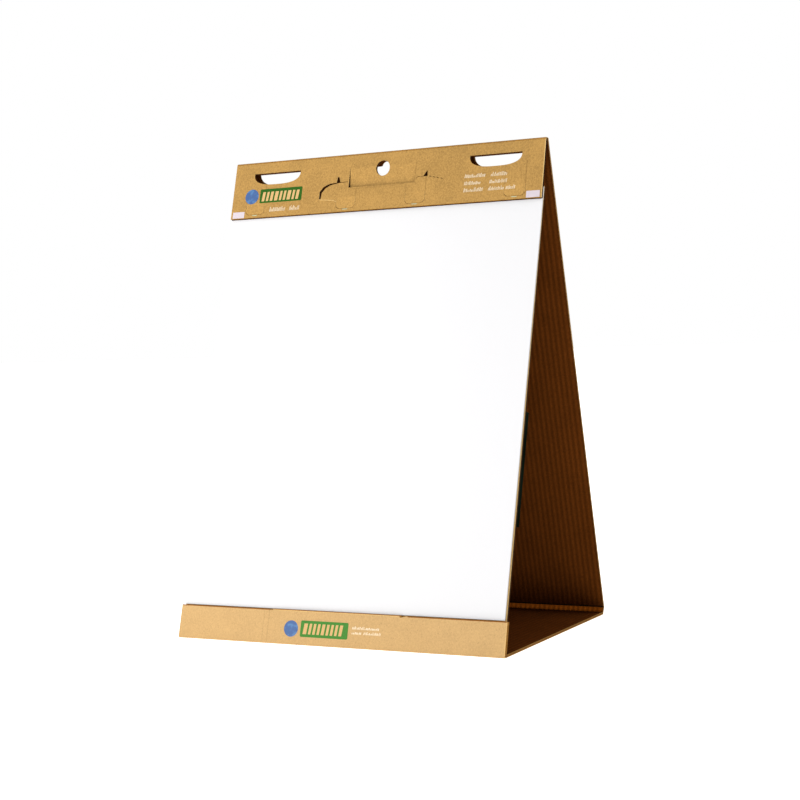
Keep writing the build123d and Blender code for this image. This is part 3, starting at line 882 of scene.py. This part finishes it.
PAD_LOW, PAD_TOP = 47.5 * MM, 632.5 * MM
PAD_FRONT, PAD_REAR = 4.3 * MM, 6.7 * MM
stack = []
for i in range(SHEETS):
    top = -PAD_FRONT - (PAD_REAR - PAD_FRONT) * i / SHEETS
    thick = 0.75 * (PAD_REAR - PAD_FRONT) / SHEETS
    x0, x1 = -HALF + random.uniform(0, 0.7) * MM, HALF - random.uniform(0, 0.7) * MM
    s0, s1 = PAD_LOW + random.uniform(0, 0.6) * MM, PAD_TOP - random.uniform(0, 0.6) * MM
    stack.append(slab(FRONT, spread(x0, x1, 2), spread(s0, s1, 8), level(top), thick, SHEET_TAPER))
piece("sheets", "front_panel", PAPER, *joined(stack), stands_for=("pad_sheets",), slot="white_paper")

SHEET_HIGH, SHEET_BEND = 614.8 * MM, 32 * MM


def draped(x, s):
    """The top sheet bellies very slightly away from the pad, most near its free right edge."""
    rise = (PAD_LOW - s) * (s - SHEET_HIGH) / ((SHEET_HIGH - PAD_LOW) / 2) ** 2
    return -BOARD + 0.05 * MM + 0.25 * MM * rise * (0.6 + 0.4 * math.sin(9 * x + 1))


top_sheet = new_object("top_sheet_paper", *slab(FRONT, spread(-HALF, HALF, 40), spread(PAD_LOW, SHEET_HIGH, 60),
                                                draped, 0.2 * MM, SHEET_TAPER), PAPER)
tidy_normals(top_sheet)
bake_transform(top_sheet)
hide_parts("top_sheet")

# ---- floor, light and camera -----------------------------------------------------------------
FLOOR_HALF, FLOOR_DROP = 30.0, 0.5 * MM
floor_paint = coated("floor_paint", (1.0, 1.0, 1.0), 0.9, 40.0, 0.005)
floor_shader = floor_paint.node_tree.nodes["Principled BSDF"]
floor_shader.inputs["Emission Color"].default_value = (1, 1, 1, 1)
floor_shader.inputs["Emission Strength"].default_value = 0.75
floor = new_object("floor", [(x * FLOOR_HALF, y * FLOOR_HALF, -FLOOR_DROP)
                             for x, y in ((-1, -1), (1, -1), (1, 1), (-1, 1))],
                   [(0, 1, 2, 3)], floor_paint)

world = bpy.data.worlds.new("studio")
bpy.context.scene.world = world
world.use_nodes = True
world.node_tree.nodes["Background"].inputs["Color"].default_value = (1, 1, 1, 1)
world.node_tree.nodes["Background"].inputs["Strength"].default_value = 1.0


def softbox(name, place, target, size, power, colour=(1, 1, 1)):
    data = bpy.data.lights.new(name, "AREA")
    data.shape = "RECTANGLE"
    data.size, data.size_y = size
    data.energy = power
    data.color = colour
    light = bpy.data.objects.new(name, data)
    bpy.context.collection.objects.link(light)
    light.location = place
    light.rotation_euler = (Vector(target) - Vector(place)).to_track_quat("-Z", "Y").to_euler()


softbox("key", (-0.95, -0.95, 0.55), (-0.1, -0.1, 0.2), (0.7, 0.6), 9, (1.0, 0.97, 0.94))
softbox("fill", (1.25, -0.45, 0.22), (0.1, 0.12, 0.05), (0.35, 0.35), 2)

AZIMUTH, ELEVATION, ROLL = 27.74 * DEG, 0.2 * DEG, -1.9 * DEG
FOCAL_PX, FRAME_PX, SENSOR = 1698.0, 800.0, 36.0
FROM_LIP = Vector((1.142, -1.953, 0.414))
forward = Vector((-math.sin(AZIMUTH) * math.cos(ELEVATION), math.cos(AZIMUTH) * math.cos(ELEVATION),
                  -math.sin(ELEVATION)))
level_right = forward.cross(Vector((0, 0, 1))).normalized()
level_up = level_right.cross(forward)
right = level_right * math.cos(ROLL) + level_up * math.sin(ROLL)
up = level_up * math.cos(ROLL) - level_right * math.sin(ROLL)
camera_data = bpy.data.cameras.new("camera")
camera_data.sensor_width = SENSOR
camera_data.lens = FOCAL_PX / FRAME_PX * SENSOR
camera_data.shift_y = -0.075
camera = bpy.data.objects.new("camera", camera_data)
bpy.context.collection.objects.link(camera)
turn = Matrix((right, up, -forward)).transposed()
camera.matrix_world = Matrix.Translation(FRONT.foot + FROM_LIP) @ turn.to_4x4()
bpy.context.scene.camera = camera
bpy.context.scene.view_settings.view_transform = "Standard"
